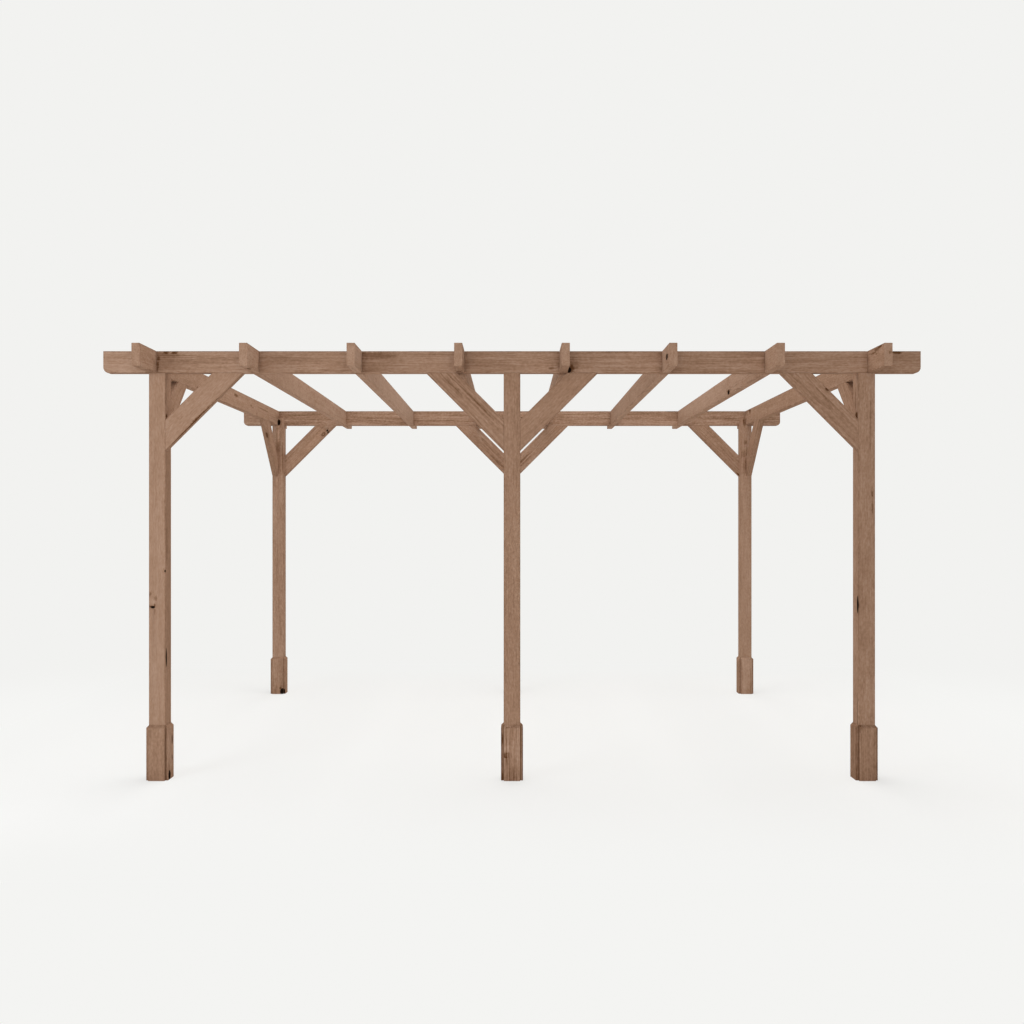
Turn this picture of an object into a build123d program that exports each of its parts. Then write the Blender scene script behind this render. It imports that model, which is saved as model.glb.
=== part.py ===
from build123d import *
import os

# Wooden pergola: two rows of three posts carry a beam each, and eight rafters cross the beams.
# Millimetres. The origin is on the ground in the middle of the plan.
# +X runs along the rows to the right, +Y from the front row to the back row, +Z up.

# Timber sections, planed
post_size = 95.0
timber_thick = 45.0
timber_deep = 125.0
board_thick = 15.0

# Layout, measured over the outer faces of the posts
row_length = 4145.0
row_spread = 3025.0
overhang = 260.0
total_height = 2450.0
rafter_count = 8

# Joinery
halving_depth = timber_deep / 2
notch_clearance = 0.5
tongue_height = timber_deep / 2
brace_reach = 442.0
end_round = 33.0
arris_round = 3.0

# Boards round the post feet
board_height = 315.0
board_edge_gap = 1.0

# Worked out from the above
half_length = row_length / 2
half_spread = row_spread / 2
underside = total_height - timber_deep
post_x = half_length - post_size / 2
post_y = half_spread - post_size / 2
beam_y = half_spread - timber_thick / 2
beam_length = row_length + 2 * overhang
rafter_length = row_spread + 2 * overhang
outer_rafter_x = half_length - timber_thick / 2
rafter_pitch = 2 * outer_rafter_x / (rafter_count - 1)
rafter_xs = [-outer_rafter_x + i * rafter_pitch for i in range(rafter_count)]
brace_short = brace_reach - timber_deep * 2 ** 0.5

columns = {"left": -1, "centre": 0, "right": 1}
rows = {"front": -1, "back": 1}


def save(shape, node):
    """Write one named piece."""
    export_step(shape, f"parts/{node}.step")


def eased_bar(length, width, height):
    """A planed bar along X, centred on the origin, with its four long arrises rounded off."""
    section = Plane.YZ * RectangleRounded(width, height, arris_round)
    return extrude(section, length / 2, both=True)


def square_timber(length):
    """A square-ended timber along X, resting on Z = 0."""
    return Pos(0, 0, timber_deep / 2) * eased_bar(length, timber_thick, timber_deep)


def timber_with_round_ends(length):
    """The same timber with its two lower end corners rounded."""
    side = Rectangle(length, timber_deep, align=(Align.CENTER, Align.MIN))
    lower_corners = side.vertices().group_by(Axis.Y)[0]
    profile = fillet(lower_corners, end_round)
    outline = extrude(Plane.XZ * profile, timber_thick, both=True)
    return square_timber(length) & outline


def notch(low, high):
    """A square-cut housing across a timber that lies along X, from height low to height high."""
    width = timber_thick + 2 * notch_clearance
    return Box(width, 2 * timber_thick, high - low, align=(Align.CENTER, Align.CENTER, Align.MIN))


def make_beam():
    """A row beam along X, with rounded ends. Each rafter drops into a housing in its upper half."""
    beam = timber_with_round_ends(beam_length)
    housing = notch(halving_depth, timber_deep + arris_round)
    return beam - [Pos(x, 0, halving_depth) * housing for x in rafter_xs]


def make_rafter():
    """A rafter along Y, cut square at its ends. Its lower half is housed over each beam, so that
    both lie in one level."""
    rafter = square_timber(rafter_length)
    housing = notch(-arris_round, halving_depth)
    rafter -= [Pos(y, 0, -arris_round) * housing for y in (-beam_y, beam_y)]
    return Rot(0, 0, 90) * rafter


def make_post(column, row):
    """A square post with a notched head. The beam sits on its outer strip and, on a corner post,
    the outer rafter beside that, so a tongue is left standing on the inner side of both."""
    section = RectangleRounded(post_size, post_size, arris_round)
    head_level = underside + tongue_height
    post = extrude(section, head_level)
    strip = (post_size - timber_thick) / 2
    beam_seat = Box(2 * post_size, timber_thick, 2 * tongue_height)
    post -= Pos(0, row * strip, head_level) * beam_seat
    if column != 0:
        rafter_seat = Box(timber_thick, 2 * post_size, 2 * tongue_height)
        post -= Pos(column * strip, 0, head_level) * rafter_seat
    return Pos(column * post_x, row * post_y, 0) * post


def make_foot_boards(column, row):
    """Four boards round a post foot, one on each face and as wide as it, bevelled on top."""
    bevel_foot = board_height - board_thick
    profile = Polyline((0, 0), (board_thick, 0), (board_thick, bevel_foot), (0, board_height), close=True)
    width = post_size - 2 * board_edge_gap
    board = extrude(Plane.XZ * make_face(profile), width / 2, both=True)
    boards = [Rot(0, 0, 90 * i) * Pos(post_size / 2, 0, 0) * board for i in range(4)]
    return Pos(column * post_x, row * post_y, 0) * Compound(children=boards)


def make_brace():
    """A knee brace in the XZ plane, with its corner at the origin. It is cut plumb against a post
    face at X = 0 and level against the timber above at Z = 0, and lies towards +X and -Z."""
    outline = Polyline(
        (0, -brace_reach), (brace_reach, 0), (brace_short, 0), (0, -brace_short), close=True
    )
    brace = extrude(Plane.XZ * make_face(outline), timber_thick / 2, both=True)
    long_arrises = brace.edges().filter_by(Axis((0, 0, 0), (1, 0, 1)))
    return fillet(long_arrises, arris_round)


os.makedirs("parts", exist_ok=True)

for row_name, row in rows.items():
    for column_name, column in columns.items():
        save(make_post(column, row), f"post_{row_name}_{column_name}")
        save(make_foot_boards(column, row), f"foot_boards_{row_name}_{column_name}")

beam = make_beam()
for row_name, row in rows.items():
    save(Pos(0, row * beam_y, underside) * beam, f"beam_{row_name}")

rafter = make_rafter()
for i, x in enumerate(rafter_xs):
    save(Pos(x, 0, underside) * rafter, f"rafter_{i + 1}")

# Braces in the rows: from the corner posts inwards, and both ways from the centre posts
brace = make_brace()
mirrored_brace = Rot(0, 0, 180) * brace
row_braces = {
    "left": (brace, -half_length + post_size),
    "centre_left": (mirrored_brace, -post_size / 2),
    "centre_right": (brace, post_size / 2),
    "right": (mirrored_brace, half_length - post_size),
}
for row_name, row in rows.items():
    for name, (shape, x) in row_braces.items():
        save(Pos(x, row * beam_y, underside) * shape, f"brace_{row_name}_{name}")

# Braces at the sides, under the outer rafters
for column_name in ("left", "right"):
    x = columns[column_name] * outer_rafter_x
    for row_name, row in rows.items():
        corner = Pos(x, row * (half_spread - post_size), underside)
        save(corner * Rot(0, 0, -90 * row) * brace, f"side_brace_{row_name}_{column_name}")
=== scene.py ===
# %% [markdown]
# # A garden pergola in stained softwood
#
# The frame holds the pergola's timbers at their real size: six posts with boarded feet, two beams,
# eight rafters and twelve knee braces. This lesson gives those timbers their wood, with its knots,
# hollows and drying checks, and sets up the camera and the light. Everything is in metres, with +X
# to the right, +Y to the back and +Z up.

# %% Load the timber frame
import math
import random

import bmesh
import bpy
from mathutils import Euler, Matrix, Vector, noise


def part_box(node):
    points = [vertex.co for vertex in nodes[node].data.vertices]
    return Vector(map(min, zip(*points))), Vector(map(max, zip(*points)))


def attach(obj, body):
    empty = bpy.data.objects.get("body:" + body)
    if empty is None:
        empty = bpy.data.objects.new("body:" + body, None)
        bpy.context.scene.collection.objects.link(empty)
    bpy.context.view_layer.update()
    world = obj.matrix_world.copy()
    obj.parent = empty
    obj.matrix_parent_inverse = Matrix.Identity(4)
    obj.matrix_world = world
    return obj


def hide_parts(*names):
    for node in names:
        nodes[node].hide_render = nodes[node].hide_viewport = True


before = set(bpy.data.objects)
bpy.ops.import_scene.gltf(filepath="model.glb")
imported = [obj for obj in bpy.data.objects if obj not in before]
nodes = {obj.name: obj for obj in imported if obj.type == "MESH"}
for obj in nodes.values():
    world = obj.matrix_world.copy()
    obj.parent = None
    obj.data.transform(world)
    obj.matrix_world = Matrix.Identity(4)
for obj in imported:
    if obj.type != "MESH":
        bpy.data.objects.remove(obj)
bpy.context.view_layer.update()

# %% [markdown]
# ## Camera
#
# The photograph looks straight at the front row from about eye height, with a 35 mm lens. The camera
# is level, so the posts stay upright in the picture, and a small shift frames the object as the
# photograph does. Turning the camera down instead would make the posts lean.

# %% Camera
IMAGE = 1024
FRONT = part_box("post_front_centre")[0].y
CAMERA_DISTANCE = 5.6813
EYE_HEIGHT = 1.4537
HORIZON_ROW = 525.7

camera_data = bpy.data.cameras.new("camera")
camera_data.lens = 35
camera_data.sensor_width = 36
camera_data.shift_y = (HORIZON_ROW - IMAGE / 2) / IMAGE
camera = bpy.data.objects.new("camera", camera_data)
camera.location = (0, FRONT - CAMERA_DISTANCE, EYE_HEIGHT)
camera.rotation_euler = (math.radians(90), 0, 0)
bpy.context.scene.collection.objects.link(camera)
bpy.context.scene.camera = camera
print("camera at", [round(v, 3) for v in camera.location], "shift", round(camera_data.shift_y, 4))

# %% [markdown]
# ## Writing shaders as sums
#
# A shader is a graph of small nodes, and long graphs are hard to read as code. One class wraps a
# socket, so that a sum such as `ring * 0.4 + fibre * 0.2` adds its Math nodes by itself, and one
# method adds any other node. The alternative, naming and linking each node by hand, takes about
# five lines for each of these operations.

# %% A socket that does sums


class Shade:
    """An output socket of a node tree, usable in Python expressions."""

    def __init__(self, tree, socket=None):
        self.tree = tree
        self.socket = socket

    def add(self, kind, settings=None, sockets=None, out=0):
        """Add a node: its settings first, then the values or links of its sockets."""
        node = self.tree.nodes.new("ShaderNode" + kind)
        for name, value in (settings or {}).items():
            if name == "stops":
                fill_ramp(node.color_ramp, value)
            else:
                setattr(node, name, value)
        for key, value in (sockets or {}).items():
            target = node.inputs[key] if isinstance(key, int) else open_socket(node.inputs, key)
            if isinstance(value, Shade):
                self.tree.links.new(value.socket, target)
            else:
                target.default_value = value
        if not node.outputs:
            return node
        found = node.outputs[out] if isinstance(out, int) else open_socket(node.outputs, out)
        return Shade(self.tree, found)

    def math(self, operation, *values):
        """A Math node on these values."""
        return self.add("Math", {"operation": operation}, dict(enumerate(values)))

    def __add__(self, other):
        return self.math("ADD", self, other)

    __radd__ = __add__

    def __sub__(self, other):
        return self.math("SUBTRACT", self, other)

    def __rsub__(self, other):
        return self.math("SUBTRACT", other, self)

    def __mul__(self, other):
        return self.math("MULTIPLY", self, other)

    __rmul__ = __mul__

    def __truediv__(self, other):
        return self.math("DIVIDE", self, other)

    def __abs__(self):
        return self.math("ABSOLUTE", self)

    def most(self, other):
        """The larger of the two."""
        return self.math("MAXIMUM", self, other)

    def step(self, start, end):
        """0 up to start, 1 from end on, and smooth in between."""
        return self.add(
            "MapRange",
            {"interpolation_type": "SMOOTHSTEP"},
            {"Value": self, "From Min": start, "From Max": end},
        )

    def part(self, axis):
        """X, Y or Z of a vector."""
        return self.add("SeparateXYZ", None, {0: self}, axis)

    def vector(self, operation, *values):
        """A Vector Math node on these values."""
        out = "Value" if operation in ("LENGTH", "DISTANCE", "DOT_PRODUCT") else "Vector"
        return self.add("VectorMath", {"operation": operation}, dict(enumerate(values)), out)

    def mixed(self, factor, other):
        """This colour, with another over it."""
        colours = {"Factor": factor, "A": self, "B": other}
        return self.add("Mix", {"data_type": "RGBA"}, colours, "Result")


def open_socket(sockets, name):
    """The socket of that name that the node's settings leave in use."""
    return next(s for s in sockets if s.enabled and s.name == name)


def fill_ramp(ramp, stops):
    """Give a colour ramp its stops, as (position, colour) pairs."""
    while len(ramp.elements) < len(stops):
        ramp.elements.new(0.5)
    for element, (position, colour) in zip(ramp.elements, stops):
        element.position = position
        element.color = colour


def srgb(red, green, blue):
    """A colour read from a screen, 0 to 255, as the linear light that shaders work in."""
    def linear(value):
        value /= 255
        return value / 12.92 if value <= 0.04045 else ((value + 0.055) / 1.055) ** 2.4
    return (linear(red), linear(green), linear(blue), 1.0)


def new_material(name):
    """An empty material and the start of its sums."""
    material = bpy.data.materials.new(name)
    material.use_nodes = True
    material.node_tree.nodes.clear()
    return material, Shade(material.node_tree)


print("the stain's middle tone is", [round(v, 3) for v in srgb(150, 119, 98)])

# %% [markdown]
# ## The log behind each timber
#
# A sawn timber is a slice of a log. To draw the wood, each timber needs to know how its log lay: the
# middle of the timber, and the turn that lays the log's length along local X. The braces lie at 45
# degrees, and the corner where a brace meets post and beam isn't on its centre line, so their middle
# is measured from that corner.

# %% Middle, turn and half size of a timber
QUARTER = math.radians(90)
EIGHTH = math.radians(45)
HALF_THICK = 0.0225
HALF_DEEP = 0.0625
BRACE_MIDDLE = 0.1768
BRACE_HALF = Vector((0.25, HALF_THICK, HALF_DEEP))


def log_of(node):
    """A timber's middle, its turn, and half its length, thickness and depth."""
    low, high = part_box(node)
    middle = (low + high) / 2
    half = (high - low) / 2
    if node.startswith("beam"):
        return middle, Euler((0, 0, 0)), half
    if node.startswith("rafter"):
        return middle, Euler((0, 0, QUARTER)), Vector((half.y, half.x, half.z))
    if node.startswith(("post", "foot")):
        return middle, Euler((0, -QUARTER, 0)), Vector((half.z, half.y, half.x))
    middle.z = high.z - BRACE_MIDDLE
    if node.startswith("side"):
        rises_back = "front" in node
        middle.y = low.y + BRACE_MIDDLE if rises_back else high.y - BRACE_MIDDLE
        return middle, Euler((0, -EIGHTH if rises_back else EIGHTH, QUARTER)), BRACE_HALF
    rises_right = node.endswith(("front_left", "back_left", "centre_right"))
    middle.x = low.x + BRACE_MIDDLE if rises_right else high.x - BRACE_MIDDLE
    return middle, Euler((0, -EIGHTH if rises_right else EIGHTH, 0)), BRACE_HALF


print("middle of the left front brace:", [round(v, 3) for v in log_of("brace_front_left")[0]])

# %% [markdown]
# ## Knots, hollows, stains and checks
#
# Softwood has knots, some of them loose or fallen out, dark patches where resin or moisture came
# through the stain, and long narrow splits called drying checks. Where the photograph shows such a
# mark, it is listed here with its place on the surface, its half length along the grain and its
# half width. A hollow and a check also have a depth, because they are cut out of the timber later.
# A stain has a strength, and a strength below 0 makes a paler patch. Stains that meet add up.
# Some stains are painted shade, and a few paler ones are painted light; each is marked where it is listed.

# %% Kinds of mark
CHECK_HALF_WIDTH = 0.0016
CHECK_DEPTH = 0.012
STAIN_DEPTH = 0.012


class Mark:
    """A knot, ring, stain, hollow or check: its place, half length along the grain, half width."""

    def __init__(self, kind, place, long, wide, depth=0.0, strength=1.0):
        self.kind = kind
        self.place = Vector(place)
        self.long = long
        self.wide = wide
        self.depth = depth
        self.strength = strength


def knot(place, long, wide):
    """A sound knot, brown all over."""
    return Mark("knot", place, long, wide)


def ring_knot(place, long, wide):
    """A knot of which only the rim shows."""
    return Mark("ring", place, long, wide)


def stain(place, long, wide, strength=0.6):
    """A darker patch, or a paler one if its strength is below 0."""
    return Mark("stain", place, long, wide, 0.0, strength)


def hollow(place, long, wide, depth):
    """The pit of a fallen-out knot, or an open split."""
    return Mark("hollow", place, long, wide, depth)


def check(place, long):
    """A drying check on a face that the photograph hides."""
    return Mark("check", place, long, CHECK_HALF_WIDTH, CHECK_DEPTH)


def lay(mark, log, deep):
    """A mark's middle and half sizes in the log's axes. It goes in at right angles to its face."""
    middle, turn, half = log
    local = turn.to_matrix().inverted() @ (mark.place - middle)
    on_side = abs(abs(local.y) - half.y) < abs(abs(local.z) - half.z)
    return local, (mark.long, deep, mark.wide) if on_side else (mark.long, mark.wide, deep)


print("a drying check is", CHECK_HALF_WIDTH * 2, "wide and", CHECK_DEPTH, "deep")

# %% Faces that carry the marks
BACK_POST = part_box("post_back_left")[0].y
BACK_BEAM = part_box("beam_back")[0].y
POST_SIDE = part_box("post_front_right")[0].x
RAFTER_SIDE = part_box("rafter_8")[0].x
BOARD_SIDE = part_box("foot_boards_front_right")[0].x
BOARD_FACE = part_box("foot_boards_front_centre")[0].y
BACK_BOARD_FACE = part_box("foot_boards_back_left")[0].y
print("marked faces from front to back:", [round(v, 4) for v in (BOARD_FACE, FRONT, BACK_POST, BACK_BEAM)])

# %% Marks that the photograph shows
MARKS = {
    "beam_front": [
        hollow((0.325, FRONT, 2.342), 0.011, 0.013, 0.014),
        stain((0.343, FRONT, 2.350), 0.012, 0.020, 0.7),
        stain((0.345, FRONT, 2.372), 0.034, 0.040, 0.4),
        stain((0.228, FRONT, 2.352), 0.022, 0.008, 0.7),
        stain((-1.973, FRONT, 2.442), 0.020, 0.010, 1.4),
        stain((-1.925, FRONT, 2.442), 0.026, 0.010, 1.4),
        stain((-1.955, FRONT, 2.428), 0.080, 0.016, 0.4),
        # Painted shade on the beam beside the right face of rafter 1.
        stain((-2.021, FRONT, 2.372), 0.006, 0.018, 1.0),
        stain((-2.017, FRONT, 2.410), 0.009, 0.014, 0.9),
        stain((-2.023, FRONT, 2.342), 0.004, 0.012, 0.7),
        # Painted light: the left end of the beam is painted paler.
        stain((-2.210, FRONT, 2.3875), 0.160, 0.100, -0.25),
        stain((-0.78, FRONT, 2.425), 0.13, 0.018, 0.5),
        stain((2.195, FRONT, 2.443), 0.040, 0.009, 1.3),
        stain((2.250, FRONT, 2.3875), 0.10, 0.100, 0.07),
        stain((1.790, FRONT, 2.3875), 0.26, 0.100, -0.12),
    ],
    "post_front_left": [
        hollow((-2.0495, FRONT, 0.989), 0.006, 0.011, 0.006),
        stain((-2.062, FRONT, 0.993), 0.005, 0.009, 1.0),
        stain((-2.040, FRONT, 0.999), 0.009, 0.005, 1.0),
        stain((-2.066, FRONT, 1.064), 0.014, 0.007, 0.8),
        stain((-2.034, FRONT, 1.039), 0.012, 0.009, 0.5),
        stain((-2.040, FRONT, 0.965), 0.014, 0.007, 0.4),
        stain((-2.050, FRONT, 1.020), 0.020, 0.014, -0.3),
        # Painted shade where the side brace meets the post.
        stain((-POST_SIDE, -1.497, 2.080), 0.014, 0.012, 1.5),
        hollow((-1.9785, -1.5115, 1.195), 0.006, 0.003, 0.003),
        hollow((-POST_SIDE, -1.498, 0.700), 0.045, 0.008, 0.009),
        stain((-POST_SIDE, -1.490, 1.33), 0.15, 0.010, 0.4),
        stain((-2.025, FRONT, 2.00), 0.36, 0.060, 0.1),
        # Painted shade: the post's inner side is painted darker.
        stain((-POST_SIDE, -1.465, 1.2), 1.3, 0.07, 0.28),
    ],
    "post_front_right": [
        hollow((POST_SIDE, -1.499, 1.003), 0.042, 0.011, 0.010),
        hollow((POST_SIDE, -1.494, 0.37), 0.110, 0.0018, 0.012),
        # Painted shade where the brace meets the post, and a painted shadow of the side brace above it.
        stain((POST_SIDE, -1.480, 2.088), 0.018, 0.014, 1.5),
        stain((POST_SIDE, -1.462, 2.170), 0.080, 0.010, 0.6),
        stain((2.055, FRONT, 1.635), 0.020, 0.004, 0.8),
        stain((2.057, FRONT, 1.562), 0.050, 0.005, 0.8),
        stain((2.045, FRONT, 2.05), 0.16, 0.006, 0.4),
    ],
    "post_back_left": [
        hollow((-2.0165, BACK_POST, 2.347), 0.022, 0.012, 0.014),
        stain((-2.028, BACK_POST, 2.10), 0.26, 0.024, 0.4),
        stain((-2.020, BACK_POST, 2.14), 0.06, 0.012, 0.3),
        stain((-1.985, BACK_POST, 2.02), 0.16, 0.007, 0.6),
    ],
    "post_back_right": [
        stain((2.010, BACK_POST, 2.350), 0.035, 0.012, 0.9),
        stain((2.018, BACK_POST, 2.174), 0.022, 0.012, 0.8),
        stain((2.008, BACK_POST, 2.072), 0.030, 0.026, 0.5),
        stain((2.012, BACK_POST, 1.970), 0.090, 0.018, 0.4),
        stain((2.027, BACK_POST, 1.985), 0.100, 0.007, 0.8),
    ],
    "rafter_1": [
        stain((-RAFTER_SIDE, 0.127, 2.412), 0.050, 0.012, 0.9),
        stain((-RAFTER_SIDE, 0.545, 2.385), 0.018, 0.010, 0.9),
        stain((-RAFTER_SIDE, 0.595, 2.380), 0.018, 0.008, 0.8),
        stain((-RAFTER_SIDE, 0.718, 2.342), 0.008, 0.018, 0.9),
        stain((-RAFTER_SIDE, -0.768, 2.345), 0.030, 0.007, 0.8),
        stain((-RAFTER_SIDE, 0.95, 2.40), 0.18, 0.006, 0.6),
    ],
    "rafter_2": [knot((-1.462, -1.665, 2.325), 0.022, 0.010)],
    # Painted light: the inner side of rafter 3 is painted paler.
    "rafter_3": [stain((-0.856, 0.30, 2.3875), 1.1, 0.100, -0.2)],
    "rafter_4": [ring_knot((-0.299, -1.570, 2.325), 0.020, 0.010)],
    "rafter_6": [hollow((0.856, -1.692, 2.387), 0.023, 0.014, 0.018)],
    "rafter_7": [
        hollow((1.4418, -0.568, 2.342), 0.026, 0.013, 0.010),
        stain((1.4418, -0.545, 2.353), 0.045, 0.006, 0.7),
        # Painted light: the inner side of rafter 7 is painted paler.
        stain((1.4418, 0.10, 2.3875), 1.1, 0.100, -0.26),
    ],
    "rafter_8": [
        stain((RAFTER_SIDE, -1.713, 2.443), 0.022, 0.010, 1.5),
        stain((RAFTER_SIDE, -1.665, 2.434), 0.045, 0.008, 1.0),
        stain((RAFTER_SIDE, -1.605, 2.420), 0.040, 0.008, 0.8),
        stain((RAFTER_SIDE, -1.655, 2.411), 0.014, 0.007, 0.7),
        stain((2.060, -1.7725, 2.399), 0.008, 0.008, 0.7),
        stain((RAFTER_SIDE, 1.288, 2.425), 0.030, 0.020, 1.0),
        hollow((RAFTER_SIDE, 1.297, 2.438), 0.012, 0.007, 0.006),
    ],
    "brace_back_left": [
        hollow((-1.607, BACK_BEAM, 2.281), 0.009, 0.006, 0.005),
        hollow((-1.600, BACK_BEAM, 2.267), 0.008, 0.005, 0.005),
        ring_knot((-1.640, BACK_BEAM, 2.250), 0.020, 0.013),
    ],
    "brace_back_centre_left": [stain((-0.115, BACK_BEAM, 2.000), 0.09, 0.016, 0.5)],
    "brace_back_centre_right": [
        stain((0.105, BACK_BEAM, 2.037), 0.10, 0.010, 0.9),
        stain((0.100, BACK_BEAM, 2.000), 0.08, 0.006, 0.5),
    ],
    # Painted shade where the brace meets the post.
    "brace_back_right": [stain((1.966, BACK_BEAM, 1.897), 0.018, 0.012, 1.2)],
    "side_brace_back_left": [knot((-2.040, 1.092, 2.209), 0.028, 0.009)],
    "brace_front_left": [
        stain((-1.802, FRONT, 2.0588), 0.050, 0.008, 1.3),
        stain((-1.855, FRONT, 2.0055), 0.170, 0.007, 0.9),
        stain((-1.740, FRONT, 2.1205), 0.120, 0.006, 0.7),
    ],
    "brace_front_centre_left": [
        stain((-0.23, FRONT, 2.185), 0.20, 0.0055, 0.6),
        stain((-0.20, FRONT, 2.125), 0.16, 0.006, 0.4),
        stain((-0.37, FRONT, 2.285), 0.09, 0.007, 0.5),
    ],
    "brace_front_right": [
        knot((1.797, FRONT, 2.231), 0.012, 0.007),
        stain((1.80, FRONT, 2.175), 0.10, 0.007, 0.4),
    ],
    "foot_boards_front_left": [
        hollow((-BOARD_SIDE, -1.489, 0.026), 0.023, 0.015, 0.009),
        stain((-BOARD_SIDE, -1.492, 0.075), 0.035, 0.004, 0.5),
        stain((-BOARD_SIDE, -1.470, 0.170), 0.20, 0.050, -0.25),
        hollow((-BOARD_SIDE, -1.444, 0.220), 0.022, 0.005, 0.004),
        hollow((-BOARD_SIDE, -1.444, 0.117), 0.014, 0.004, 0.004),
    ],
    "foot_boards_front_centre": [
        stain((-0.044, BOARD_FACE, 0.148), 0.014, 0.008, 1.3),
        stain((-0.033, BOARD_FACE, 0.136), 0.005, 0.014, 1.0),
        stain((-0.022, BOARD_FACE, 0.150), 0.018, 0.0035, 1.0),
        stain((-0.032, BOARD_FACE, 0.158), 0.004, 0.008, 0.6),
        stain((-0.022, BOARD_FACE, 0.182), 0.022, 0.024, -0.3),
        stain((-0.030, BOARD_FACE, 0.118), 0.035, 0.012, 0.4),
        stain((-0.054, -1.5115, 0.234), 0.030, 0.007, 1.0),
        stain((-0.054, -1.5115, 0.020), 0.020, 0.007, 1.0),
    ],
    "foot_boards_back_left": [
        hollow((-1.976, BACK_BOARD_FACE, 0.022), 0.025, 0.021, 0.011),
        stain((-2.004, BACK_BOARD_FACE, 0.052), 0.010, 0.010, 1.0),
    ],
    "foot_boards_back_right": [stain((BOARD_SIDE, 1.465, 0.150), 0.170, 0.050, 0.35)],
}

# %% Drying checks on faces that the photograph hides
random.seed(11)
for name in sorted(nodes):
    low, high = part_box(name)
    middle = (low + high) / 2
    if name.startswith("post"):
        back = (middle.x + random.uniform(-0.025, 0.025), high.y, random.uniform(0.9, 1.8))
        MARKS.setdefault(name, []).append(check(back, random.uniform(0.16, 0.34)))
    elif name.startswith("rafter"):
        top = (middle.x + random.uniform(-0.01, 0.01), random.uniform(-0.9, 0.9), high.z)
        MARKS.setdefault(name, []).append(check(top, random.uniform(0.2, 0.4)))
print("timbers with marks:", len(MARKS), "marks:", sum(len(m) for m in MARKS.values()))

# %% [markdown]
# ## Stained softwood
#
# The log's yearly rings are tubes round its pith, so a solid pattern of tubes, cut by the timber's
# faces, gives straight lines on a side, arches on a face that touches a ring, and curved rings on
# the end grain, all matching at the arrises. A flat pattern laid on each face could not do that.
# Branches leave the pith like spokes, so scattered knots are found by a cell pattern on the
# direction from the pith. Each timber has its own pith and shift, so that no two are alike.

# %% Colours of the stain
DARK_STAIN = srgb(94, 62, 40)
MIDDLE_STAIN = srgb(151, 119, 97)
PALE_STAIN = srgb(188, 158, 138)
KNOT_BROWN = srgb(84, 53, 33)
# Near black for the wood inside hollows and checks: painted shade in the pit.
PIT_SHADE_BLACK = srgb(14, 6, 3)
STAIN_RAMP = [(0.0, DARK_STAIN), (0.5, MIDDLE_STAIN), (1.0, PALE_STAIN)]
print("stain from dark to pale:", [[round(v, 3) for v in colour[:3]] for _, colour in STAIN_RAMP])

# %% The log's axes in a material
POST_FACE = 0.0475
SEAM_HALF_WIDTH = 0.0003
BOARD_SHIFT = Vector((7.3, 3.7, 1.9))
BOARD_PITH_SHIFT = (0.013, 0.021)


class Grain:
    """The axes of a timber's log, and noise that is stretched along it."""

    def __init__(self, start, log, seed, boards):
        middle, turn, half = log
        self.start = start
        self.half = half
        lie = {"Vector": start.add("TexCoord", None, None, "Object"), "Location": middle, "Rotation": turn}
        self.axes = start.add("Mapping", {"vector_type": "TEXTURE"}, lie)
        self.along, self.across, self.deep = (self.axes.part(axis) for axis in "XYZ")
        self.side = abs(self.across)
        self.top = abs(self.deep)
        self.drift = start.add("CombineXYZ", None, {"X": seed[0], "Y": seed[1], "Z": seed[2]})
        if boards:
            self.part_the_boards()
        self.shifted = start.vector("ADD", self.axes, self.drift)

    def part_the_boards(self):
        """The boards round a foot are four pieces of wood, so each gets its own shift."""
        seam = (POST_FACE - SEAM_HALF_WIDTH, POST_FACE + SEAM_HALF_WIDTH)
        on_side = self.side.step(*seam) * self.side.math("SIGN", self.across)
        on_front = self.top.step(*seam) * self.top.math("SIGN", self.deep)
        shift = {"X": on_side * BOARD_SHIFT.x, "Y": on_front * BOARD_SHIFT.y, "Z": on_side * BOARD_SHIFT.z}
        self.drift = self.start.vector("ADD", self.drift, self.start.add("CombineXYZ", None, shift))
        self.across = self.across + on_front * BOARD_PITH_SHIFT[0]
        self.deep = self.deep + on_side * BOARD_PITH_SHIFT[1]

    def noise(self, long, wide, detail=2.0):
        """Noise about 0, with cells of that many a metre along and across the grain."""
        cells = self.start.vector("MULTIPLY", self.shifted, (long, wide, wide))
        sockets = {"Vector": cells, "Scale": 1.0, "Detail": detail}
        return self.start.add("TexNoise", None, sockets, "Fac") - 0.5


print("seam between foot boards at", POST_FACE, "from the post's middle")

# %% Knots that grow anywhere
KNOT_LANE = 0.1
KNOT_CELLS = 3.1
KNOT_WOBBLE = 0.006


def scattered_knots(grain, pith, ragged):
    """How far a point is from the pith, and from the nearest branch that left it."""
    start = grain.start
    spoke = start.add("CombineXYZ", None, {"Y": grain.across - pith[0], "Z": grain.deep - pith[1]})
    direction = start.vector("NORMALIZE", spoke)
    lane = start.add("VectorMath", {"operation": "SCALE"}, {0: direction, "Scale": KNOT_LANE})
    lane = start.vector("ADD", lane, grain.drift)
    lane = start.vector("ADD", lane, start.add("CombineXYZ", None, {"X": grain.along}))
    cell = start.add("TexVoronoi", None, {"Vector": lane, "Scale": KNOT_CELLS}, "Distance")
    return start.vector("LENGTH", spoke), cell / KNOT_CELLS + ragged * KNOT_WOBBLE


print("scattered knots: about", KNOT_CELLS, "cells a metre along a log")

# %% Marks of the photograph, painted
HOLLOW_SHOWN = 1.6
STAIN_FRAY = 1.6
KNOT_FRAY = 0.9
SLENDER = 5


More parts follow.
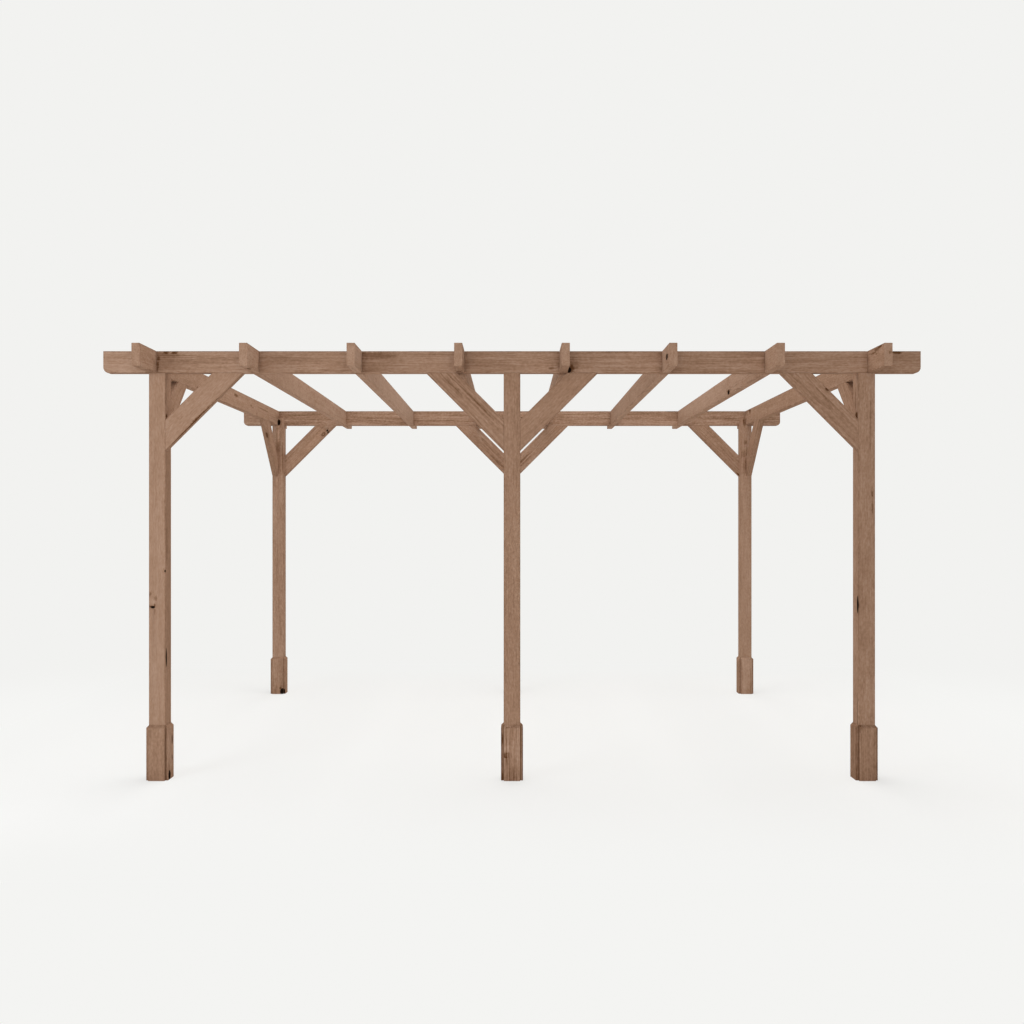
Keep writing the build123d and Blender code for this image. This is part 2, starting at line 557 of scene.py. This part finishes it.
def marked(grain, log, marks, figure):
    """The knots, stains and hollows of a timber, and how far they sweep its rings aside."""
    start = grain.start
    found = {"knot": 0.0, "stain": 0.0, "hollow": 0.0, "sweep": 0.0}
    for mark in marks:
        local, size = lay(mark, log, mark.depth * HOLLOW_SHOWN or STAIN_DEPTH)
        gap = start.vector("DIVIDE", start.vector("SUBTRACT", grain.axes, local), size)
        reach = start.vector("LENGTH", gap)
        if mark.kind == "stain":
            spread = (reach + (figure["ragged"] + figure["streak"]) * STAIN_FRAY).step(1.3, 0.5)
            found["stain"] = spread * mark.strength + found["stain"]
            continue
        if mark.kind in ("knot", "ring"):
            core = (reach + figure["ragged"] * KNOT_FRAY).step(1.25, 0.85)
            core = core * reach.step(0.25, 0.75) if mark.kind == "ring" else core
            found["knot"] = core.most(found["knot"])
        else:
            found["hollow"] = reach.step(1.3, 1.12).most(found["hollow"])
        if mark.kind != "check" and mark.long < SLENDER * mark.wide:
            found["sweep"] = reach.step(4.0, 0.8).most(found["sweep"])
    return found


print("a hollow is painted to", HOLLOW_SHOWN, "times its depth")

# %% [markdown]
# ## Painted shade in corners, stain and wear on edges
#
# The wood is painted darker where shade falls: beside the housings where timbers cross, in the
# crease where a post meets the top of its foot boards and in the seams between the boards. Along
# the arrises it is painted darker as well, partly as stain and partly as painted shade, and wear
# takes some of that off again. The photograph shows these as thin dark lines, and they tell how the
# timbers are joined. They follow from the distance to the timber's own edges, which the log's axes
# give, so no edge is marked by hand.

# %% Painted shade beside joints, stain and shade along arrises
ARRIS_WIDTH = 0.008
ARRIS_CORE = 0.002
ARRIS_SHADE = 0.08
LOWER_ARRIS_SHADE = 0.05
UPPER_ARRIS_SHADE = 0.20
WEAR = 0.18
JOINT_WIDTH = 0.030
JOINT_PAINTED_SHADE = 0.10
JOINT_FRAY = 0.25
JOINTS = {
    "beam": [log_of(f"rafter_{i}")[0].x for i in range(1, 9)],
    "rafter": [log_of(beam)[0].y for beam in ("beam_front", "beam_back")],
}


def arris_stain_and_shade(grain, name):
    """Arrises painted darker, partly as stain and partly as painted shade, with worn places; the painted
    shade is darkest along the top of a beam or rafter.
    """
    near_side = grain.side.step(grain.half.y - ARRIS_WIDTH, grain.half.y - ARRIS_CORE)
    near_top = grain.top.step(grain.half.z - ARRIS_WIDTH, grain.half.z - ARRIS_CORE)
    worn = grain.noise(16, 60).step(0.06, 0.16)
    shade = ARRIS_SHADE
    if name.startswith(("beam", "rafter")):
        shade = grain.deep.step(-0.01, 0.01) * UPPER_ARRIS_SHADE + LOWER_ARRIS_SHADE
    return near_side * near_top * (shade - worn * WEAR)


def joint_painted_shade(grain, joint, ragged):
    """Painted shade on both sides of a timber that crosses, but not on the wood inside its housing."""
    beside = abs(grain.along - joint) - HALF_THICK
    beside = beside.step(JOINT_WIDTH, 0.0) * abs(beside).step(0.0, 0.001)
    return beside * (JOINT_PAINTED_SHADE + ragged * JOINT_FRAY)


print("crossings along a beam:", [round(v, 3) for v in JOINTS["beam"]])

# %% Painted shade, dirt and darkening at the foot boards
BOARD_HALF_WIDTH = 0.0465
SAWN_EDGE_START = 0.0560
SAWN_EDGE_END = 0.0605
BOARD_HALF_HEIGHT = 0.1575
BOARDS_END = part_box("foot_boards_front_left")[1].z - log_of("post_front_left")[0].z
BOARDS_END_PAINTED_SHADE = 0.16
SEAM_NEAR = 0.00245
SEAM_FAR = 0.00775
SEAM_PAINTED_SHADE = 0.22
BOTTOM_DARKENING = 0.07


def edge_faces(flush, beyond):
    """The sawn edges of the boards that end flush with a face of the post."""
    facing_out = flush.step(BOARD_HALF_WIDTH - 0.0002, BOARD_HALF_WIDTH - 0.0001)
    facing_out = facing_out * flush.step(BOARD_HALF_WIDTH + 0.0005, BOARD_HALF_WIDTH + 0.0002)
    return facing_out * beyond.step(SAWN_EDGE_START, SAWN_EDGE_END)


def board_dirt_and_shade(grain, finish):
    """Painted shade in the seams between the boards, dirt and painted shade on their sawn edges, and
    boards darker towards the bottom.
    """
    beside = grain.side - POST_FACE
    before = grain.top - POST_FACE
    seam = (beside * beside + before * before).step(SEAM_FAR * SEAM_FAR, SEAM_NEAR * SEAM_NEAR)
    edges = edge_faces(grain.side, grain.top) + edge_faces(grain.top, grain.side)
    lower_part = grain.along.step(-0.06, -BOARD_HALF_HEIGHT)
    return seam * SEAM_PAINTED_SHADE + edges * finish.notch_dirt_and_shade + lower_part * BOTTOM_DARKENING


def darker_places(grain, name, finish, ragged):
    """How much darker the wood is painted along arrises, beside joints and at the boards: stain and
    painted shade.
    """
    dark = arris_stain_and_shade(grain, name)
    for joint in JOINTS.get(name.split("_")[0], ()):
        dark = dark + joint_painted_shade(grain, joint, ragged)
    if name.startswith("post"):
        # Painted shade in the crease where the post meets the top of its foot boards.
        dark = dark + grain.along.step(BOARDS_END + 0.007, BOARDS_END - 0.002) * BOARDS_END_PAINTED_SHADE
    if name.startswith("foot"):
        dark = dark + board_dirt_and_shade(grain, finish)
    return dark


print("boards end", round(-BOARDS_END, 3), "below the middle of a post")

# %% [markdown]
# ## The figure of the wood
#
# Close up, planed and stained softwood shows fibres, flecks and rings. From a few metres off it
# shows streaks and blotches where it took the stain unevenly. One noise can't do both, so noises of
# several sizes are added, all stretched along the log, and each timber weighs them in its own way.

# %% Noises and their weights
FIGURE = {
    "ragged": (70, 105, 4.0),
    "streak": (4, 105, 3.0),
    "fibre": (25, 420, 3.0),
    "fleck": (42, 130, 2.0),
    "mottle": (60, 80, 2.0),
    "blotch": (11, 26, 3.0),
    "band": (1.1, 26, 2.0),
    "slow": (1.4, 3.0, 2.0),
}
FIGURE_SHADES = {"fleck": 0.40, "blotch": 0.26, "fibre": 0.25}
BAND_SHADE = 0.6
SLOW_SHADE = 0.16
SWEEP_SHADE = 0.08
MARK_SHADE = 0.42
RING_PITCH = 0.0075
RING_SWEEP = 0.012


class Timber:
    """How one timber took the stain: its tone, the contrasts of its figure, and the dirt and painted shade
    at its notches.
    """

    def __init__(
        self, tone=0.0, ring=0.1, streak=0.35, mottle=0.25, figure=1.0, end_tone=0.05, notch_dirt_and_shade=0.0
    ):
        self.tone = tone
        self.ring = ring
        self.streak = streak
        self.mottle = mottle
        self.figure = figure
        self.end_tone = end_tone
        self.notch_dirt_and_shade = notch_dirt_and_shade


def late_wood(grain, radius, sweep, seed):
    """The dark lines of the rings, wandering along the log and swept aside by knots."""
    wander = grain.noise(0.9, 3.0) * 0.05 + grain.noise(4.0, 16.0) * 0.010
    year = (radius + wander + sweep * RING_SWEEP) / RING_PITCH
    season = year.math("FRACT", year)
    growth = {"W": year * 0.43 + seed[0], "Scale": 1.0}
    good_year = grain.start.add("TexNoise", {"noise_dimensions": "1D"}, growth)
    return season.step(0.3, 0.92) * season.step(1.0, 0.94) * good_year.step(0.3, 0.68)


def end_faces(start, log):
    """1 on the ends of a timber, where its grain shows end on."""
    facing = start.add("NewGeometry", None, None, "Normal")
    log_direction = log[1].to_matrix() @ Vector((1, 0, 0))
    return abs(start.vector("DOT_PRODUCT", facing, log_direction)).step(0.5, 0.68)


def figure_shade(figure, finish):
    """How much the figure lightens or darkens the stain."""
    shade = sum(figure[part] * weight for part, weight in FIGURE_SHADES.items()) * finish.figure
    shade = shade + figure["streak"] * finish.streak + figure["band"] * (finish.streak * BAND_SHADE)
    return shade + figure["mottle"] * finish.mottle + figure["slow"] * SLOW_SHADE


print("noises:", len(FIGURE), "rings a centimetre:", round(0.01 / RING_PITCH, 2))

# %% The wood of one timber
SHEEN = 0.004
MATT = 0.86
BUMP_STRENGTH = 0.4
BUMP_HEIGHT = 0.0012
KNOT_COVER = 0.72
PIT_SHADE_COVER = 0.96


def make_wood(name, log, pith, seed, finish, marks):
    """Stained softwood for one timber."""
    material, start = new_material(name)
    grain = Grain(start, log, seed, name.startswith("foot"))
    figure = {part: grain.noise(*cells) for part, cells in FIGURE.items()}
    radius, branch = scattered_knots(grain, pith, figure["ragged"])
    found = marked(grain, log, marks, figure)
    knot_wood = branch.step(0.012, 0.007).most(found["knot"] * 1.15)
    sweep = branch.step(0.055, 0.004).most(found["sweep"])
    rings = late_wood(grain, radius, sweep, seed)
    end_grain = end_faces(start, log)

    shade = 0.5 + finish.tone + figure_shade(figure, finish)
    shade = shade - rings * finish.ring - sweep * SWEEP_SHADE + end_grain * finish.end_tone
    shade = shade - darker_places(grain, name, finish, figure["ragged"]) - found["stain"] * MARK_SHADE
    colour = start.add("ValToRGB", {"stops": STAIN_RAMP}, {"Fac": shade})
    colour = colour.mixed(knot_wood * (KNOT_COVER + figure["ragged"]), KNOT_BROWN)
    # The inside of hollows and checks is painted near black: painted shade.
    colour = colour.mixed(found["hollow"] * PIT_SHADE_COVER, PIT_SHADE_BLACK)

    height = figure["fibre"] * 0.4 + figure["streak"] * 0.3 + figure["fleck"] * 0.2
    height = height - rings * 0.3 - knot_wood * 0.5
    relief = {"Strength": BUMP_STRENGTH, "Distance": BUMP_HEIGHT, "Height": height}
    bump = start.add("Bump", None, relief)
    rough = MATT + figure["fibre"] * 0.2 + figure["fleck"] * 0.12 - knot_wood * 0.2 + end_grain * 0.1
    wood = {"Base Color": colour, "Roughness": rough, "Normal": bump, "Specular IOR Level": SHEEN}
    shader = start.add("BsdfPrincipled", None, wood)
    start.add("OutputMaterial", None, {"Surface": shader})
    return material


print("roughness about", MATT, "and specular level", SHEEN)

# %% Give every timber its own wood
RAFTER = {"ring": 0.07, "streak": 0.22, "mottle": 0.22}
BOARDS = {"ring": 0.2, "streak": 0.4, "mottle": 0.3, "end_tone": -0.06, "notch_dirt_and_shade": 0.2}
FINISHES = {
    "beam_front": Timber(tone=0.04, ring=0.16, streak=0.50),
    "beam_back": Timber(tone=0.04, ring=0.26, streak=0.80, mottle=0.45, figure=1.2),
    "rafter": Timber(tone=0.04, end_tone=0.03, **RAFTER),
    "rafter_1": Timber(tone=0.05, end_tone=-0.03, **RAFTER),
    # Painted light: rafters 2, 3, 6 and 7 get a paler tone that lightens their inner sides, and a lower
    # end tone so that their ends stay about like the others.
    "rafter_2": Timber(tone=0.11, end_tone=-0.04, **RAFTER),
    "rafter_3": Timber(tone=0.15, end_tone=-0.05, **RAFTER),
    "rafter_6": Timber(tone=0.10, end_tone=-0.02, **RAFTER),
    "rafter_7": Timber(tone=0.07, end_tone=0.01, **RAFTER),
    "rafter_8": Timber(tone=-0.01, end_tone=0.15, **RAFTER),
    "post_front_left": Timber(tone=0.07, ring=0.03, streak=0.14, mottle=0.11, figure=0.75),
    "post_front": Timber(tone=-0.02, ring=0.06, streak=0.24, mottle=0.28),
    "post_front_right": Timber(tone=0.02, ring=0.06, streak=0.24, mottle=0.28),
    "post_back": Timber(tone=0.08, ring=0.08, streak=0.32, mottle=0.30),
    "brace_front_left": Timber(tone=0.04, ring=0.03, streak=0.11, mottle=0.22, figure=0.75),
    "brace_front_centre_left": Timber(tone=0.01, ring=0.15, streak=0.45, mottle=0.25),
    "brace_front_centre_right": Timber(ring=0.04, streak=0.16, mottle=0.25, figure=0.75),
    "brace_front_right": Timber(ring=0.14, streak=0.35, mottle=0.35),
    "brace_back": Timber(tone=0.03, ring=0.14, streak=0.50, mottle=0.35),
    "side_brace": Timber(ring=0.10, streak=0.30),
    "foot_boards": Timber(tone=0.15, **BOARDS),
    "foot_boards_back_left": Timber(tone=0.05, **BOARDS),
    "foot_boards_front_left": Timber(tone=-0.03, ring=0.06, streak=0.15, end_tone=-0.06, notch_dirt_and_shade=0.0),
    "foot_boards_front_centre": Timber(tone=0.06, ring=0.42, streak=0.80, end_tone=-0.06, notch_dirt_and_shade=0.35),
    "foot_boards_front_right": Timber(tone=-0.07, **BOARDS),
}

POST_PITH = 0.02
TIMBER_PITH = 0.055
PITH_SPREAD = 0.04
woods = {}
random.seed(7)
for name in sorted(nodes):
    finish = FINISHES[max((kind for kind in FINISHES if name.startswith(kind)), key=len)]
    seed = tuple(round(random.uniform(5, 60), 2) for _ in range(3))
    side = random.choice((-1, 1))
    nearest = POST_PITH if name.startswith("post") else TIMBER_PITH
    pith = (side * random.uniform(nearest, nearest + PITH_SPREAD), random.uniform(-0.05, 0.05))
    woods[name] = make_wood(name + "_wood", log_of(name), pith, seed, finish, MARKS.get(name, ()))
    nodes[name].data.materials.clear()
    nodes[name].data.materials.append(woods[name])
print("woods:", len(woods))

# %% [markdown]
# ## Hollows cut into the wood
#
# A fallen-out knot is a pit, and a check is a narrow cleft, and both show as dark because light
# hardly gets in. A bump in the material has no depth of its own, so they are cut for real: a lens or
# a pebble, made from a sphere that is stretched and roughened, is taken out of a copy of the timber.
# That copy then stands for the timber. Its outside faces stay where they were.

# The wood inside a hollow or a check is also painted near black, as painted shade.
# %% Shapes that are taken out
PEBBLE_ROUGHNESS = 0.45
PEBBLE_LUMPS = 1.3


def add_hollow(shape, log, mark):
    """Add one pebble or lens to the shape that will be taken out of a timber."""
    rotation = log[1].to_matrix().to_4x4()
    size = lay(mark, log, mark.depth)[1]
    made = bmesh.ops.create_icosphere(shape, subdivisions=3, radius=1)["verts"]
    chance = Vector((random.uniform(0, 9), random.uniform(0, 9), random.uniform(0, 9)))
    for vert in made:
        vert.co *= 1 + PEBBLE_ROUGHNESS * noise.noise(vert.co * PEBBLE_LUMPS + chance)
    stretch = Matrix.Diagonal((*size, 1))
    matrix = Matrix.Translation(mark.place) @ rotation @ stretch
    bmesh.ops.transform(shape, matrix=matrix, verts=made)


print("pebbles vary by", PEBBLE_ROUGHNESS, "of their size")

# %% Copies that stand for the timbers
MERGE_DISTANCE = 1e-5
FLAT = math.radians(0.5)
SHARP = math.radians(40)


def carve(node, marks):
    """Cut a timber's hollows into a copy of it, which then stands for the timber."""
    solid = bmesh.new()
    solid.from_mesh(nodes[node].data)
    bmesh.ops.remove_doubles(solid, verts=solid.verts, dist=MERGE_DISTANCE)
    bmesh.ops.dissolve_limit(solid, angle_limit=FLAT, verts=solid.verts, edges=solid.edges)
    mesh = bpy.data.meshes.new(node + "_copy")
    solid.to_mesh(mesh)
    solid.free()
    mesh.materials.append(woods[node])
    piece = bpy.data.objects.new("carved_" + node, mesh)
    bpy.context.scene.collection.objects.link(piece)

    shape = bmesh.new()
    for mark in marks:
        add_hollow(shape, log_of(node), mark)
    cutter_mesh = bpy.data.meshes.new(node + "_hollows")
    shape.to_mesh(cutter_mesh)
    shape.free()
    cutter = bpy.data.objects.new(node + "_hollows", cutter_mesh)
    bpy.context.scene.collection.objects.link(cutter)

    cut = piece.modifiers.new("hollows", "BOOLEAN")
    cut.operation = "DIFFERENCE"
    cut.solver = "EXACT"
    cut.object = cutter
    depsgraph = bpy.context.evaluated_depsgraph_get()
    carved = bpy.data.meshes.new_from_object(piece.evaluated_get(depsgraph))
    piece.modifiers.clear()
    piece.data = carved
    bpy.data.objects.remove(cutter)
    bpy.data.meshes.remove(cutter_mesh)
    bpy.data.meshes.remove(mesh)
    carved.shade_smooth()
    carved.set_sharp_from_angle(angle=SHARP)
    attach(piece, "root")
    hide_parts(node)
    return piece


# %% Carve the timbers
random.seed(23)
for name in sorted(MARKS):
    hollows = [mark for mark in MARKS[name] if mark.depth]
    if hollows:
        piece = carve(name, hollows)
        carved = bmesh.new()
        carved.from_mesh(piece.data)
        loose = sum(not edge.is_manifold for edge in carved.edges)
        print(name, "hollows:", len(hollows), "faces:", len(carved.faces), "open edges:", loose)
        carved.free()

# %% [markdown]
# ## Floor
#
# The photograph is a studio picture: a pale floor that runs into a pale wall. To the camera, the
# floor mostly shows the colour of the background, more so with distance, so that no horizon shows
# from any side, and it keeps a faint shadow round each foot. In the photograph it is a little
# brighter at both sides and in front. A brighter lamp would change the timbers too, so the
# brightness is painted into the colour that the floor shows to the camera.

# %% Floor
BACKDROP = srgb(242, 242, 240)
FLOOR_PAINT = (0.9, 0.885, 0.86, 1)
FLOOR_SIZE = 60
POSTS_X = 2.1
POSTS_Y = 1.55
BRIGHTER_BESIDE_POSTS = 0.07
BRIGHTER_AT_SIDES = 0.035
BRIGHTER_IN_FRONT = 0.018
COVER_AT_POSTS = 0.65

floor_mesh = bpy.data.meshes.new("floor")
plane = bmesh.new()
bmesh.ops.create_grid(plane, x_segments=1, y_segments=1, size=FLOOR_SIZE)
plane.to_mesh(floor_mesh)
plane.free()
floor = bpy.data.objects.new("floor", floor_mesh)
bpy.context.scene.collection.objects.link(floor)
print("floor:", FLOOR_SIZE * 2, "metres square")

# %% Paint of the floor


def seen_rays(start):
    """1 for rays from the camera, mirrors and glass, and 0 for light that spreads."""
    kinds = ("Is Camera Ray", "Is Glossy Ray", "Is Transmission Ray")
    camera_ray, glossy_ray, glass_ray = (start.add("LightPath", None, None, kind) for kind in kinds)
    return camera_ray.most(glossy_ray).most(glass_ray)


material, start = new_material("floor_paint")
place = start.add("TexCoord", None, None, "Object")
backwards = place.part("Y")
sideways = abs(place.part("X"))
outside = (sideways - POSTS_X).most(abs(backwards) - POSTS_Y)
beside = sideways.step(1.4, 2.6) * outside.step(1.4, 0.2) * BRIGHTER_BESIDE_POSTS
sides = sideways.step(1.8, 3.4) * sideways.step(5.6, 4.0) * backwards.step(3.5, 0.0) * BRIGHTER_AT_SIDES
bright = beside + sides + backwards.step(-1.0, -2.6) * BRIGHTER_IN_FRONT + 1.0
glow = start.add("VectorMath", {"operation": "SCALE"}, {0: BACKDROP[:3], "Scale": bright})
paint = start.add("BsdfDiffuse", None, {"Color": FLOOR_PAINT})
backdrop = start.add("Emission", None, {"Color": glow, "Strength": 1.0})
cover = seen_rays(start) * (COVER_AT_POSTS + outside.step(0.2, 1.6) * (1 - COVER_AT_POSTS))
shader = start.add("MixShader", None, {"Fac": cover, 1: paint, 2: backdrop})
start.add("OutputMaterial", None, {"Surface": shader})
floor_mesh.materials.append(material)
print("nodes in the floor's paint:", len(material.node_tree.nodes))

# %% [markdown]
# ## Light
#
# The light is soft and comes from all round. A large lamp overhead sends light down that comes back
# up from the floor. A key lamp at the left front, slightly cool, makes the left part the brightest.
# Broad lamps in front and behind and a weak one at the right fill the rest. Ambient light alone
# would be simpler, but then every face of a timber would be equally bright.

# %% Background
AMBIENT = 0.415
world = bpy.data.worlds.new("studio")
bpy.context.scene.world = world
world.use_nodes = True
world.node_tree.nodes.clear()
start = Shade(world.node_tree)
shown = start.add("Background", None, {"Color": BACKDROP, "Strength": 1.0})
around = start.add("Background", None, {"Color": (1, 1, 1, 1), "Strength": AMBIENT})
shader = start.add("MixShader", None, {"Fac": seen_rays(start), 1: around, 2: shown})
start.add("OutputWorld", None, {"Surface": shader})
print("ambient light:", AMBIENT)


# %% Lamps
def soft_lamp(name, place, target, size, power, colour=(1.0, 1.0, 1.0)):
    """A large square lamp that faces a point."""
    data = bpy.data.lights.new(name, "AREA")
    data.color = colour
    data.shape = "SQUARE"
    data.size = size
    data.energy = power
    lamp = bpy.data.objects.new(name, data)
    lamp.location = place
    lamp.rotation_euler = (Vector(target) - Vector(place)).to_track_quat("-Z", "Y").to_euler()
    bpy.context.scene.collection.objects.link(lamp)


CHEST_HIGH = (0.0, 0.0, 1.4)
LAMPS = [
    ("key_lamp", (-4.2, -4.8, 2.4), (-1.0, -0.5, 1.6), 2.0, 62, (0.9, 1.0, 1.1)),
    ("top_lamp", (0.0, 0.0, 6.0), (0.0, 0.0, 0.0), 4.0, 232),
    ("front_lamp", (0.0, -9.5, 2.0), CHEST_HIGH, 5.0, 250),
    ("back_lamp", (0.0, 7.0, 3.0), CHEST_HIGH, 4.0, 126),
    ("right_lamp", (7.0, 0.0, 3.0), CHEST_HIGH, 3.0, 26),
]
for lamp in LAMPS:
    soft_lamp(*lamp)
print("lamps:", len(LAMPS))

# %% Colour view
bpy.context.scene.view_settings.view_transform = "Standard"
